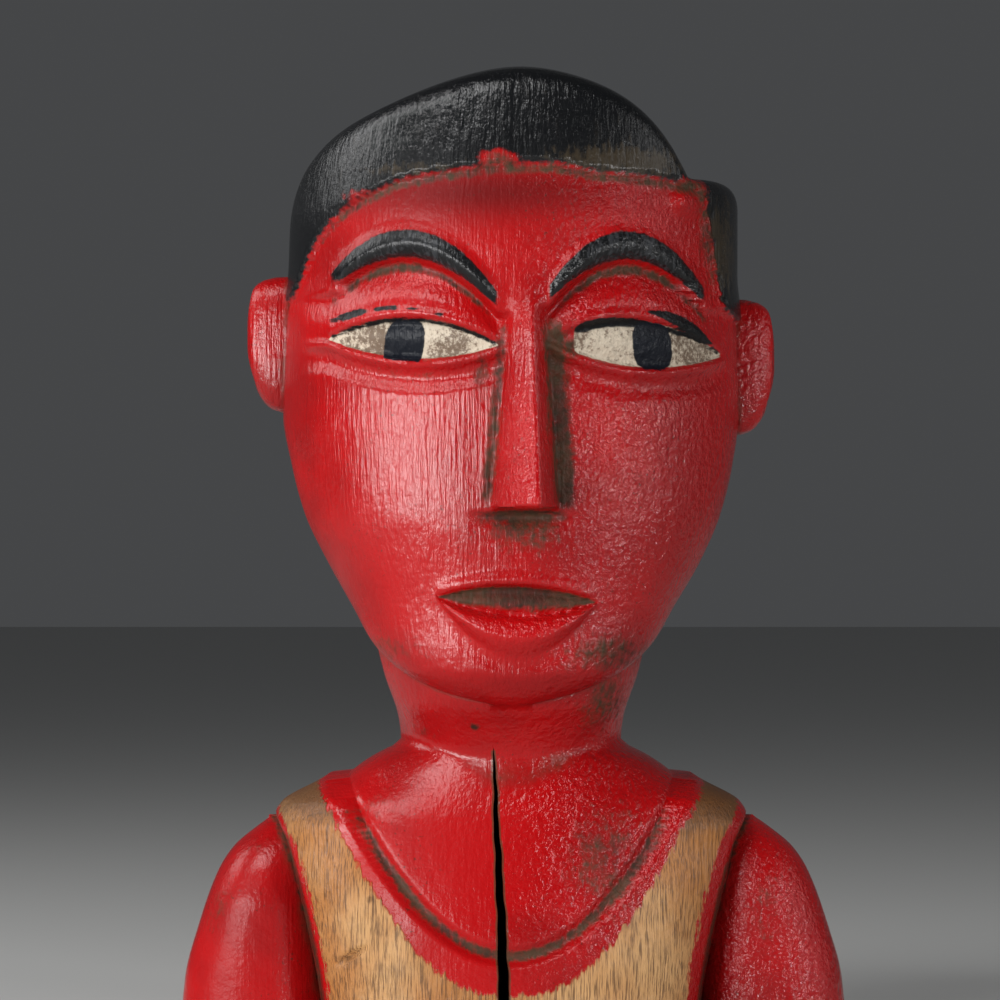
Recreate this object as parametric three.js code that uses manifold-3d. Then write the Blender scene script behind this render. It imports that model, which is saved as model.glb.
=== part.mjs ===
// A painted wooden spirit spouse figure as a bust: head, neck, shoulders and upper arms of one carved block,
// cut flat below the chest. Millimetres. X is the viewer's right, Y runs back through the figure, Z is up, and
// the origin lies in the flat cut under the middle of the neck.
import * as THREE from "three";
import { mergeVertices } from "three/addons/utils/BufferGeometryUtils.js";
import Module from "manifold-3d";

const wasm = await Module();
wasm.setup();

// Driving sizes
const bustHeight = 146.3; // flat cut to crown
const chinHeight = 52.2; // flat cut to the lowest point of the chin
const headWidth = 68.6;
const headDepth = 74.4;
const headBack = 39.8; // back of the head, behind the neck's middle
const neckWidth = 33;
const neckDepth = 35;
const shoulderHeight = 46.6; // where the shoulders run out into the neck
const chestWidth = 68.6; // across the shoulders, without the arms
const chestDepth = 43.6;
const chestFront = 22.8; // front of the chest, before the neck's middle
const armSpan = 100.6; // across both arms at the flat cut
const armSink = 1.2; // how far an arm's inner side lies inside the chest's side
const armDepth = 21;
const armBack = 1; // middle of an arm, behind the neck's middle
const armTop = 35.8;
const vestThickness = 1;
const strapThickness = 1.9; // of the same vest, over the shoulders
const earHeight = 20.6;
const earDepth = 11;
const earReach = 5.8; // how far an ear stands out of the head
const earSink = 3; // and how deep it is rooted in it
const earBack = 4; // middle of an ear, behind the neck's middle
const earHollow = 1.5;
const noseReach = 7.8; // nose tip before the face
const neckRound = 0.9; // rounding of the crease where the neck meets the shoulders
const crownRound = 2.2; // rounding of the hair's front edge, four times that behind
const hairThickness = 0.9; // step from the forehead up to the hair
const crackWidth = 1.85; // at the flat cut
const crackShort = 0.6; // the crack ends this far below the shoulders' top
const crackDepth = 15;

const headHeight = bustHeight - chinHeight;
const halfHead = headWidth / 2;

// Small helpers for curves and blends
const clamp = (t) => Math.min(1, Math.max(0, t));
const mix = (a, b, t) => a + (b - a) * t;
const step = (from, to, t) => {
  const s = clamp((t - from) / (to - from));
  return s * s * (3 - 2 * s);
};
// 1 at the middle, 0 from a distance of one on
const mound = (t) => (Math.abs(t) < 1 ? (1 - t * t) ** 2 : 0);
const arch = (t) => 4 * t * (1 - t);
// The lesser or greater of two distances, rounded over about the given radius
const join = (a, b, round) => {
  const h = clamp(0.5 + (b - a) / (2 * round));
  return mix(b, a, h) - round * h * (1 - h);
};
const meet = (a, b, round) => -join(-a, -b, round);

// A smooth curve through [position, value] pairs that never overshoots them
function curve(pairs) {
  const at = pairs.map((p) => p[0]);
  const value = pairs.map((p) => p[1]);
  const rise = at.slice(1).map((a, i) => (value[i + 1] - value[i]) / (a - at[i]));
  const slope = at.map((_, i) => {
    if (i === 0 || i === at.length - 1) return rise[Math.min(i, rise.length - 1)];
    const [before, after] = [rise[i - 1], rise[i]];
    return before * after <= 0 ? 0 : (2 * before * after) / (before + after);
  });
  return (t) => {
    if (t <= at[0]) return value[0];
    if (t >= at[at.length - 1]) return value[at.length - 1];
    const i = at.findIndex((a) => a > t) - 1;
    const width = at[i + 1] - at[i];
    const s = (t - at[i]) / width;
    const turned = s * s * (3 - 2 * s);
    const push = s * (1 - s) * width;
    return mix(value[i], value[i + 1], turned) + push * ((1 - s) * slope[i] - s * slope[i + 1]);
  };
}

// How far a point lies outside an oval section: negative inside. The oval spans left to right and front to
// back, and squareness 2 makes it an ellipse.
function oval(x, y, left, right, front, back, squareness) {
  const middle = (front + back) / 2;
  const deep = Math.max((back - front) / 2, 0.01);
  const wide = Math.max(x < 0 ? left : right, 0.01);
  const out = (Math.abs(x) / wide) ** squareness + (Math.abs(y - middle) / deep) ** squareness;
  return (out ** (1 / squareness) - 1) * Math.min(wide, deep);
}

// Head outlines: shares of the head's height above the chin against shares of its half width or depth
const headLeft = curve([
  [0, 0.04],
  [0.026, 0.31],
  [0.061, 0.49],
  [0.1, 0.6],
  [0.15, 0.68],
  [0.226, 0.8],
  [0.3, 0.9],
  [0.377, 0.96],
  [0.46, 1],
  [0.6, 0.985],
  [0.68, 0.952],
  [0.76, 0.942],
  [0.83, 0.905],
  [0.9, 0.85],
  [1, 0.82],
]);
const headRight = curve([
  [0, 0.04],
  [0.026, 0.31],
  [0.061, 0.5],
  [0.1, 0.615],
  [0.15, 0.7],
  [0.226, 0.825],
  [0.3, 0.915],
  [0.377, 0.97],
  [0.46, 1],
  [0.6, 0.99],
  [0.68, 0.968],
  [0.8, 0.968],
  [1, 0.94],
]);
const headFront = curve([
  [0, 0.34],
  [0.02, 0.375],
  [0.06, 0.405],
  [0.16, 0.41],
  [0.3, 0.425],
  [0.5, 0.43],
  [0.64, 0.455],
  [0.76, 0.46],
  [0.84, 0.45],
  [1, 0.415],
]);
const headRear = curve([
  [0, 0.3],
  [0.06, 0.08],
  [0.12, -0.12],
  [0.2, -0.26],
  [0.3, -0.38],
  [0.42, -0.49],
  [0.58, -0.54],
  [0.75, -0.53],
  [0.9, -0.47],
  [1, -0.4],
]);

// The crown seen from the front: its highest line lies a little to the right, and the parting on the right
// drops to a ledge of side hair.
const crownShift = 0.04;
const crownFall = { broad: 0.155, left: 0, right: 0.45 };
const ledgeHeight = 0.838;
const ledgeSlope = 0.018;
const crownForward = -0.16;
function crownHeight(x, y) {
  const across = x / halfHead - crownShift;
  const fall = Math.abs(across);
  const steep = across < 0 ? crownFall.left : crownFall.right;
  const along = y / headDepth - crownForward;
  const sides = crownFall.broad * ((fall ** 2 + 0.02) ** 0.775 - 0.02 ** 0.775) + steep * fall ** 5;
  const dome = 1 - sides - 0.2 * along ** 2 - 0.12 * Math.max(along, 0) ** 3;
  const ledge = ledgeHeight - ledgeSlope * across - 0.2 * along ** 2;
  const top = across > 0 ? -join(-dome, -ledge, 0.006) : dome;
  return chinHeight + headHeight * top - hairThickness;
}

// Face carving: places are shares, across from the middle to the head's side and up from chin to crown.
// Depths and edges are given in millimetres for a head of this height, and grow with it.
const carvedFor = 94.1;
const grade = headHeight / carvedFor;
const softEdge = 1.8;
const eyes = [
  { inner: [-0.05, 0.56], outer: [-0.789, 0.573], rise: 0.034, fall: 0.026 },
  { inner: [0.16, 0.567], outer: [0.915, 0.548], rise: 0.036, fall: 0.03 },
];
const brows = [
  { inner: [-0.061, 0.63], outer: [-0.768, 0.663], arch: 0.07 },
  { inner: [0.16, 0.64], outer: [0.825, 0.64], arch: 0.0744 },
];
const browHalf = 0.021; // half a brow's thickness
const mouth = { left: [-0.309, 0.173], right: [0.353, 0.165], rise: 0.021, fall: 0.029, lip: 0.086 };
const nose = { bottom: 0.31, top: 0.605, left: [-0.086, -0.012], ridge: [0.119, 0.088], right: [0.204, 0.145] };
const notch = { middle: 0.043, half: 0.27, drop: 0.008 };

// How far along the line from one point to another a place lies, and the line's height there
function alongLine(from, to, across) {
  const share = (across - from[0]) / (to[0] - from[0]);
  return [share, mix(from[1], to[1], clamp(share))];
}

// Under the brow: its undercut, the domed lid, the lid's rim, the eyeball and the lower lid
function eyeRelief(eye, brow, across, up) {
  const [share, line] = alongLine(eye.inner, eye.outer, across);
  const reach = arch(clamp(share));
  const top = line + eye.rise * reach;
  const bottom = line - eye.fall * reach;
  const [browShare, browLine] = alongLine(brow.inner, brow.outer, across);
  const underBrow = browLine + brow.arch * arch(clamp(browShare)) - browHalf;
  const overTop = (up - top) * carvedFor;
  const underBottom = (bottom - up) * carvedFor;
  const above = step(-softEdge, softEdge, overTop);
  const below = step(-softEdge, softEdge, underBottom);
  const fallen = (underBrow - up) / Math.max(underBrow - top, 0.02);
  const lid = -1.9 * step(-0.35, 0.3, fallen) * (1 - 0.85 * step(0.25, 0.9, fallen));
  const rim = 0.5 * mound((overTop - 1.5) / 2.4) * Math.sqrt(reach);
  const lower = 0.3 * mound((underBottom - 1.6) / 2.2) - 0.4 * mound((underBottom - 3.6) / 3);
  const inside = step(-0.2, 0.02, share) * step(1.2, 0.99, share);
  const ball = -0.9 * Math.sqrt(reach) * (1 - above - below);
  return inside * (above * (lid + rim) + ball + below * lower);
}

function browRelief(brow, across, up) {
  const [share, line] = alongLine(brow.inner, brow.outer, across);
  const height = (up - line - brow.arch * arch(clamp(share))) / browHalf;
  const ends = step(-0.05, 0.12, share) * step(1.06, 0.88, share);
  return 0.9 * ends * mound(height / 2.1);
}

// A lens cut in, a full lower lip and a thin rim above
function mouthRelief(across, up) {
  const [share, line] = alongLine(mouth.left, mouth.right, across);
  const reach = arch(clamp(share));
  const top = line + mouth.rise * reach;
  const bottom = line - mouth.fall * reach;
  const lip = line - mouth.lip * reach;
  const overTop = (up - top) * carvedFor;
  const within = step(softEdge, -softEdge, overTop) * step(-softEdge, softEdge, (up - bottom) * carvedFor);
  const lipHalf = Math.max((bottom - lip) / 2, 0.012) * 1.22;
  const lowerLip = 1.6 * mound((up - (bottom + lip) / 2) / lipHalf);
  const upperLip = 0.5 * mound((overTop - 1.6) / 2.4);
  return Math.sqrt(reach) * (lowerLip + upperLip - 1.3 * within);
}

// Wedge-shaped cut under the nose, deepest along its straight upper edge
function notchRelief(across, up) {
  const drop = (nose.bottom - notch.drop - up) * carvedFor;
  const middle = Math.abs(across - notch.middle) / notch.half;
  return -1.6 * step(1, 0.65, middle) * step(-1, 0.2, drop) * step(7, 0.4, drop);
}

// The hairline's share of the head's height, by the angle round the head: from the back, over the left
// ear, across the forehead, and over the right ear to the back again
const hairline = curve([
  [-180, 0.34],
  [-122, 0.36],
  [-110, 0.5],
  [-101, 0.67],
  [-87, 0.655],
  [-78, 0.635],
  [-71, 0.642],
  [-63, 0.676],
  [-53, 0.73],
  [-42, 0.776],
  [-33, 0.8],
  [-26, 0.817],
  [-16, 0.828],
  [-9, 0.834],
  [0, 0.84],
  [8, 0.841],
  [20, 0.828],
  [32, 0.8235],
  [41, 0.816],
  [49, 0.806],
  [53, 0.775],
  [57, 0.7],
  [61, 0.64],
  [66, 0.615],
  [80, 0.605],
  [88, 0.635],
  [101, 0.64],
  [110, 0.48],
  [122, 0.36],
  [180, 0.34],
]);
const axisBack = 2; // the middle line that the angles are taken round, behind the neck's middle
function hairCover(x, y, z) {
  const angle = (Math.atan2(x, axisBack - y) * 180) / Math.PI;
  return step(-0.6, 0.6, z - chinHeight - headHeight * hairline(angle));
}

function faceRelief(x, y, z) {
  const across = x / halfHead;
  const up = (z - chinHeight) / headHeight;
  const facing = step(-0.1, -0.24, y / headDepth);
  let raised = mouthRelief(across, up) + notchRelief(across, up);
  eyes.forEach((eye, side) => (raised += eyeRelief(eye, brows[side], across, up)));
  brows.forEach((brow) => (raised += browRelief(brow, across, up)));
  return facing * raised * grade + hairThickness * hairCover(x, y, z);
}

// Front and back of the head at a height
const headMiddle = headBack - 0.535 * headDepth;
const faceAt = (up) => headMiddle - headDepth * headFront(up);
const napeAt = (up) => headMiddle - headDepth * headRear(up);

function head(x, y, z) {
  const up = (z - chinHeight) / headHeight;
  const [left, right] = [halfHead * headLeft(up), halfHead * headRight(up)];
  const sides = oval(x, y, left, right, faceAt(up), napeAt(up), 2.3);
  const back = y / headDepth;
  const ledgeCorner = 0.65 * step(0.15, 0.8, x / halfHead) * step(0.3, 0, back);
  const rounding = crownRound * mix(1, 4, step(-0.4, 0.35, back) * (1 - ledgeCorner));
  const shaped = meet(sides, z - crownHeight(x, y), rounding);
  return Math.max(shaped - faceRelief(x, y, z), chinHeight - z);
}

// Neck: shares of the shoulder-to-chin height against shares of its half width, front and back
const neckSide = curve([[-1, 1], [0, 1], [0.6, 1.02], [1.8, 1.15], [3, 1.25]]);
const neckFront = curve([[-1, 1], [-0.4, 1], [0.4, 1.16], [1.1, 1.36], [2, 1.4]]);
function neck(x, y, z) {
  const up = (z - shoulderHeight) / (chinHeight - shoulderHeight);
  const wide = (neckWidth / 2) * neckSide(up);
  const high = chinHeight + 0.3 * headHeight;
  const form = oval(x, y, wide, wide, (-neckDepth / 2) * neckFront(up), neckDepth / 2, 2.1);
  return Math.max(form, z - high);
}

// Chest and shoulders: shares of the shoulder height against shares of half width, front and back
const chestSide = curve([
  [-0.1, 0.8],
  [0, 0.81],
  [0.2, 0.84],
  [0.42, 0.905],
  [0.62, 0.975],
  [0.72, 0.985],
  [0.8, 0.92],
  [0.87, 0.76],
  [0.95, 0.6],
  [1, 0.46],
]);
const chestFore = curve([[0, 1], [0.25, 1], [0.5, 0.96], [0.75, 0.86], [0.88, 0.77], [1, 0.68]]);
const chestRear = curve([[0, 1], [0.35, 1.02], [0.6, 1], [0.8, 0.9], [1, 0.76]]);

function chest(x, y, z) {
  const up = z / shoulderHeight;
  const wide = (chestWidth / 2) * chestSide(up);
  const rear = chestDepth - chestFront;
  const form = oval(x, y, wide, wide, -chestFront * chestFore(up), rear * chestRear(up), 2.6);
  return Math.max(form, z - shoulderHeight);
}

// The vest is the chest's own form, thicker, and thickest over the shoulders
function dressedChest(x, y, z) {
  return chest(x, y, z) - mix(vestThickness, strapThickness, step(0.65, 0.85, z / shoulderHeight));
}

// Chest and neck in one, with a crease where they meet
function torso(x, y, z) {
  return join(chest(x, y, z), neck(x, y, z), neckRound);
}

// Arms: the outer line bows out to the elbow, and the top is a rounded cap
const armOuter = curve([[-0.1, 1], [0, 1], [0.3, 0.985], [0.54, 0.94], [0.75, 0.885], [0.85, 0.84], [0.95, 0.755], [1, 0.7]]);
const armCap = curve([[0, 1], [0.62, 1], [0.75, 0.93], [0.86, 0.76], [0.95, 0.47], [1, 0.12]]);
const armSkew = { left: 0.99, right: 1.005 };
function arm(side) {
  const skew = side < 0 ? armSkew.left : armSkew.right;
  return (x, y, z) => {
    const up = z / armTop;
    const outer = (armSpan / 2) * armOuter(up) * skew;
    const inner = (chestWidth / 2) * chestSide((0.55 * z) / shoulderHeight) - armSink;
    const wide = (outer - inner) / 2;
    const deep = (armDepth / 2) * armCap(up);
    const form = oval(side * x - (outer + inner) / 2, y, wide, wide, armBack - deep, armBack + deep, 2.3);
    return Math.max(form, z - armTop);
  };
}

// Ears: rounded slabs on the sides of the head, dished on the outside, the right one set lower
const earUp = { left: 0.57, right: 0.534 };
function ear(side) {
  const middle = chinHeight + headHeight * (side < 0 ? earUp.left : earUp.right);
  return (x, y, z) => {
    const up = (z - middle) / (earHeight / 2);
    const narrowed = 1 - 0.22 * step(0, -1, up);
    const out = (side * x - halfHead + earSink) / (earReach + earSink) / narrowed;
    const along = (y - earBack) / (earDepth / 2);
    const slab = (out ** 4 + along ** 4 + up ** 4) ** 0.25;
    const dish = earHollow * mound((along + 0.1) / 0.65) * mound((up - 0.08) / 0.8) * step(0.4, 0.8, out);
    return (slab - 1) * earReach + dish;
  };
}

// Distance from an axis to the outermost place where a ray leaves a form
function leave(form, from, way, far) {
  const inside = (r) => form(from.x + way.x * r, from.y + way.y * r, from.z + way.z * r) < 0;
  const coarse = far / 300;
  let near = far;
  while (near > 0 && !inside(near)) near -= coarse;
  let low = Math.max(near, 0);
  let high = low + coarse;
  for (let i = 0; i < 14; i++) {
    const middle = (low + high) / 2;
    if (inside(middle)) low = middle;
    else high = middle;
  }
  return Math.max(low, 0.05);
}

// A closed skin around a form: rows of rays, each row a ring of directions from one point of the axis, and
// a point where the rings end at either side. Each row is { from, tilt }, with the tilt in radians. Each cell
// is split along the diagonal whose middle lies nearer the form.
function skinOf(form, rows, turns, far) {
  const points = [];
  const faces = [];
  rows.forEach(({ from, tilt }) =>
    turns.forEach((turn) => {
      const way = new THREE.Vector3(
        Math.sin(turn) * Math.cos(tilt),
        -Math.cos(turn) * Math.cos(tilt),
        Math.sin(tilt),
      );
      points.push(from.clone().addScaledVector(way, leave(form, from, way, far)));
    }),
  );
  const bottom = points.push(rows[0].from.clone()) - 1;
  const last = rows[rows.length - 1];
  const up = new THREE.Vector3(0, 0, 1);
  const top = points.push(last.from.clone().addScaledVector(up, leave(form, last.from, up, far))) - 1;
  const n = turns.length;
  const lid = (rows.length - 1) * n;
  const off = (p, q) => Math.abs(form(...points[p].clone().lerp(points[q], 0.5)));
  for (let i = 0; i < n; i++) {
    const next = (i + 1) % n;
    for (let row = 0; row < rows.length - 1; row++) {
      const [a, b, c, d] = [row * n + i, row * n + next, (row + 1) * n + next, (row + 1) * n + i];
      if (off(a, c) < off(b, d)) faces.push(a, b, c, a, c, d);
      else faces.push(a, b, d, b, c, d);
    }
    faces.push(bottom, next, i, top, lid + i, lid + next);
  }
  return solidFrom(points, faces);
}

function solidFrom(points, faces) {
  const flat = points.flatMap((p) => [p.x, p.y, p.z]);
  const geometry = new THREE.BufferGeometry();
  geometry.setAttribute("position", new THREE.Float32BufferAttribute(flat, 3));
  geometry.setIndex(faces);
  return toSolid(geometry);
}

function toSolid(geometry) {
  geometry.deleteAttribute("normal");
  geometry.deleteAttribute("uv");
  const merged = mergeVertices(geometry, 1e-4);
  const vertProperties = merged.attributes.position.array;
  const triVerts = new Uint32Array(merged.index.array);
  return new wasm.Manifold(new wasm.Mesh({ numProp: 3, vertProperties, triVerts }));
}

// Numbers from one value to another in even steps, both ends included
const spread = (from, to, count) => Array.from({ length: count }, (_, i) => mix(from, to, i / (count - 1)));
const degrees = (d) => (d * Math.PI) / 180;
const roundTurns = (count) => spread(0, 360 - 360 / count, count).map(degrees);

// The head's rays start on a line that leans forward to the chin, so that it stays inside the head
function headSkin() {
  const row = (up, tilt = 0) => {
    const y = mix((faceAt(up) + napeAt(up)) / 2, axisBack, step(0.05, 0.25, up));
    return { from: new THREE.Vector3(0, y, chinHeight + up * headHeight), tilt: degrees(tilt) };
  };
  const level = 0.66;
  const rows = [
    ...spread(0.004, 0.05, 4).map((up) => row(up)),
    ...spread(0.07, level, 31).map((up) => row(up)),
    ...spread(3.5, 28, 7).map((tilt) => row(level, tilt)),
    ...spread(33, 80, 7).map((tilt) => row(level, tilt)),
  ];
  const face = spread(-0.9, 0.9, 34).map((across) => Math.atan2(across * halfHead, axisBack - faceAt(0.5)));
  const side = [46, 50, 54, 59, 66, 77, 90, 104, 119];
  const mirrored = side.map((turn) => 360 - turn).reverse();
  const rest = [...side, ...spread(134, 226, 7), ...mirrored].map(degrees);
  return skinOf(head, rows, [...face, ...rest], headDepth);
}

function torsoRows() {
  const axis = (up) => ({ from: new THREE.Vector3(0, 0, up * shoulderHeight), tilt: 0 });
  return [...spread(-0.06, 0.72, 8), ...spread(0.77, 0.995, 7)].map(axis);
}

function torsoSkin() {
  const neckRows = spread(1.02, 1.55, 7).map((up) => ({
    from: new THREE.Vector3(0, 0, up * shoulderHeight),
    tilt: 0,
  }));
  return skinOf(torso, [...torsoRows(), ...neckRows], roundTurns(32), chestWidth);
}

// The vest's outline seen from the front or the back: armholes, straps and the bow of the neckline
const neckline = { front: 0.315, back: 0.6, top: 0.967, reach: 0.83 };
const armhole = [
  [-0.1, 0.78],
  [0.2, 0.815],
  [0.45, 0.88],
  [0.67, 0.965],
  [0.8, 1.05],
  [1.1, 1.12],
];
function vestOutline(lowest) {
  const half = chestWidth / 2;
  const side = armhole.map(([up, across]) => [across * half, up * shoulderHeight]);
  const bow = spread(1.08, -1.08, 25).map((share) => [
    share * neckline.reach * half,
    mix(lowest, neckline.top, share ** 2) * shoulderHeight,
  ]);
  const mirrored = side.map(([x, z]) => [-x, z]).reverse();
  return new THREE.Shape([...side, ...bow, ...mirrored].map(([x, z]) => new THREE.Vector2(x, z)));
}

function vestSolid() {
  const deep = 2 * chestDepth;
  const prism = (lowest, from) => {
    const flat = new THREE.ExtrudeGeometry(vestOutline(lowest), { depth: deep, bevelEnabled: false });
    return toSolid(flat.rotateX(Math.PI / 2).translate(0, from + deep, 0));
  };
  const cloth = skinOf(dressedChest, torsoRows(), roundTurns(32), chestWidth);
  const front = prism(neckline.front, -deep);
  const rear = prism(neckline.back, -vestThickness);
  return cloth.intersect(front.add(rear));
}

function armSkin(side) {
  const rows = [...spread(-0.08 * armTop, 0.7 * armTop, 7), ...spread(0.78 * armTop, 0.97 * armTop, 5)].map((z) => {
    const up = clamp(z / armTop);
    const middle = mix((armSpan + chestWidth * chestSide(0)) / 4, 0.36 * armSpan, up ** 3);
    return { from: new THREE.Vector3(side * middle, armBack, z), tilt: 0 };
  });
  return skinOf(arm(side), rows, roundTurns(18), armSpan / 2);
}

function earSkin(side) {
  const middle = chinHeight + headHeight * (side < 0 ? earUp.left : earUp.right);
  const rows = spread(-0.94, 0.94, 11).map((up) => ({
    from: new THREE.Vector3(side * (halfHead - earSink / 3), earBack, middle + (up * earHeight) / 2),
    tilt: 0,
  }));
  return skinOf(ear(side), rows, roundTurns(16), earHeight);
}

// The nose is a wedge with a flat underside and a blunt ridge, which runs a little right of its middle
function noseSolid() {
  const point = (across, up, out) =>
    new THREE.Vector3(across * halfHead, faceAt(up) - out, chinHeight + up * headHeight);
  const buried = -noseReach;
  const ring = (up, share, out) => {
    const [left, ridge, right] = [nose.left, nose.ridge, nose.right].map(([low, high]) => mix(low, high, share));
    return [
      point(left, up, buried),
      point(left, up, 0),
      point(mix(left, ridge, 0.5), up, 0.66 * out),
      point(mix(left, ridge, 0.88), up, 0.97 * out),
      point(mix(ridge, right, 0.12), up, 0.97 * out),
      point(mix(ridge, right, 0.55), up, 0.62 * out),
      point(right, up, 0),
      point(right, up, buried),
    ];
  };
  const rings = spread(0, 1, 6).map((share) => {
    const up = mix(nose.bottom, nose.top, share);
    return ring(up, share, noseReach * (1 - 0.72 * share) * mix(1, 0.25, step(0.85, 1, share)));
  });
  return loft(rings);
}

// A closed solid through rings of equally many points, all turning the same way as seen from above
function loft(rings) {
  const points = rings.flat();
  const n = rings[0].length;
  const faces = [];
  for (let row = 0; row < rings.length - 1; row++)
    for (let i = 0; i < n; i++) {
      const next = (i + 1) % n;
      const [a, b, c, d] = [row * n + i, row * n + next, (row + 1) * n + next, (row + 1) * n + i];
      faces.push(a, b, c, a, c, d);
    }
  const lid = (rings.length - 1) * n;
  for (let i = 1; i < n - 1; i++) faces.push(0, i + 1, i, lid, lid + i, lid + i + 1);
  return solidFrom(points, faces);
}

// The drying crack: a wedge that narrows up the chest into the neck and wanders a little on the way
function crackSolid() {
  const outside = -1.35 * chestFront;
  const top = shoulderHeight - crackShort;
  const rings = spread(-0.05 * top, top, 12).map((z) => {
    const share = clamp(z / top);
    const surface = -chestFront * chestFore(z / shoulderHeight);
    const tip = surface + crackDepth * mix(1, 0.45, share);
    const atSurface = Math.max((crackWidth / 2) * (1 - share) ** 0.6, 0.02);
    const half = (atSurface * (tip - outside)) / (tip - surface);
    const middle = mix(-1.2, -2.4, share ** 1.5) + 0.2 * Math.sin(5.5 * share);
    return [
      new THREE.Vector3(middle - half, outside, z),
      new THREE.Vector3(middle + half, outside, z),
      new THREE.Vector3(middle, tip, z),
    ];
  });
  return loft(rings);
}

// Everything under the flat cut
function underCut() {
  const height = 20;
  const box = new THREE.BoxGeometry(2 * armSpan, 2 * armSpan, height);
  return toSolid(box.translate(0, 0, -height / 2));
}

function carveBust() {
  const pieces = [torsoSkin(), vestSolid(), armSkin(-1), armSkin(1), earSkin(-1), earSkin(1), noseSolid()];
  const whole = pieces.reduce((sum, piece) => sum.add(piece), headSkin());
  return whole.subtract(crackSolid()).subtract(underCut());
}

function meshOf(solid, name, material) {
  const { vertProperties, triVerts } = solid.getMesh();
  const geometry = new THREE.BufferGeometry();
  geometry.setAttribute("position", new THREE.BufferAttribute(new Float32Array(vertProperties), 3));
  geometry.setIndex(new THREE.BufferAttribute(new Uint32Array(triVerts), 1));
  geometry.computeVertexNormals();
  const mesh = new THREE.Mesh(geometry, material);
  mesh.name = name;
  return mesh;
}

const redPaint = new THREE.MeshStandardMaterial({ color: 0xb4100e, roughness: 0.4, metalness: 0 });

const bust = new THREE.Group();
bust.add(meshOf(carveBust(), "carved_bust", redPaint));

export default bust;
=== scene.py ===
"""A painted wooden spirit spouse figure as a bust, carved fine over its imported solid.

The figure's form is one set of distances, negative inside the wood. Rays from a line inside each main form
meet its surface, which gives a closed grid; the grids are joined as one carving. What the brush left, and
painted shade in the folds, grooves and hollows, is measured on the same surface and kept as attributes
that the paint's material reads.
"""
import bpy
import numpy as np
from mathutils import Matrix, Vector


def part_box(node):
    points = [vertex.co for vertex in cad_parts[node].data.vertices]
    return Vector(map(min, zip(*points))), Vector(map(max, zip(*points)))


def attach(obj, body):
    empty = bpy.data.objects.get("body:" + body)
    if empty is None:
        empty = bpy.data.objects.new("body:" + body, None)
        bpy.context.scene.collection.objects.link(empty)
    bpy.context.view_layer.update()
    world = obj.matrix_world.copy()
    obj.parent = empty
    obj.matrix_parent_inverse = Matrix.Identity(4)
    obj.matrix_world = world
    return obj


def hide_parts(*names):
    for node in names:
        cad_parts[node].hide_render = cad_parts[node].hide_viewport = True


to_mm = 1000
to_metres = 0.001

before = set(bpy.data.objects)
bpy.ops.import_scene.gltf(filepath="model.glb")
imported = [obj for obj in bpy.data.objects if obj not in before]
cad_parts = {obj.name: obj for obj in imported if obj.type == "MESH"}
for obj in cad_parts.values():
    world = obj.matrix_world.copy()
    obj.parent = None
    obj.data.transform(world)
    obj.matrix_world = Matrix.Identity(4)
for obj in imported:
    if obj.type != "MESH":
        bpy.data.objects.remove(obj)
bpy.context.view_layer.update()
wood_low, wood_high = (np.array(corner, float) * to_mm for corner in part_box("carved_bust"))

# Driving sizes in millimetres. X is the viewer's right, Y runs back, Z is up from the flat cut.
bust_height = wood_high[2]
arm_span = 100.6
chin_height = 52.2
head_width = 68.6
head_depth = 74.4
head_back = 39.8
neck_width = 33.0
neck_depth = 35.0
shoulder_height = 46.6
chest_width = 68.6
chest_depth = 43.6
chest_front = 22.8
arm_sink = 1.2
arm_depth = 21.0
arm_back = 1.0
arm_top = 35.8
vest_thickness = 1.0
strap_thickness = 1.9
neck_round = 0.9
ear_height = 20.6
ear_depth = 11.0
ear_reach = 5.8
ear_sink = 3.0
ear_back = 4.0
ear_hollow = 1.5
nose_reach = 7.8
hair_thickness = 0.9
crown_round = 2.2
crack_width = 1.85
crack_short = 0.6
crack_depth = 15.0
crack_foot_x = -1.2
crack_end_x = -2.4
axis_back = 2.0

# How square each form's outline is from above: 2 is an ellipse
head_squareness = 2.3
neck_squareness = 2.1
chest_squareness = 2.6
arm_squareness = 2.3

head_height = bust_height - chin_height
half_head = head_width / 2
half_chest = chest_width / 2


# Curves and blends
def mix(a, b, t):
    """a where t is 0, b where t is 1, and in a straight line between."""
    return a + (b - a) * t


def step(start, end, t):
    """0 at start and 1 at end, eased at both by 3s^2 - 2s^3."""
    s = np.clip((t - start) / (end - start), 0, 1)
    return s * s * (3 - 2 * s)


def mound(t):
    """1 at the middle and 0 from a distance of one on, by (1 - t^2)^2."""
    return np.clip(1 - t * t, 0, 1) ** 2


def arch(t):
    """0 at both ends of 0 to 1 and 1 in the middle, by 4t(1 - t)."""
    t = np.clip(t, 0, 1)
    return 4 * t * (1 - t)


def join(a, b, rounding):
    """The lesser of two distances, rounded over about the given radius."""
    h = np.clip(0.5 + (b - a) / (2 * rounding), 0, 1)
    return mix(b, a, h) - rounding * h * (1 - h)


def meet(a, b, rounding):
    """The greater of two distances, rounded over about the given radius."""
    return -join(-a, -b, rounding)


def curve(points):
    """A cubic through (position, value) pairs that never overshoots them."""
    at, value = np.array(points, float).T
    rise = np.diff(value) / np.diff(at)
    before, after = rise[:-1], rise[1:]
    same = before * after > 0
    inner = np.where(same, 2 * before * after / np.where(same, before + after, 1), 0)
    slope = np.concatenate(([rise[0]], inner, [rise[-1]]))

    def read(t):
        t = np.clip(t, at[0], at[-1])
        i = np.clip(np.searchsorted(at, t, side="right") - 1, 0, len(at) - 2)
        width = at[i + 1] - at[i]
        s = (t - at[i]) / width
        push = s * (1 - s) * width * ((1 - s) * slope[i] - s * slope[i + 1])
        return mix(value[i], value[i + 1], s * s * (3 - 2 * s)) + push

    return read


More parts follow.
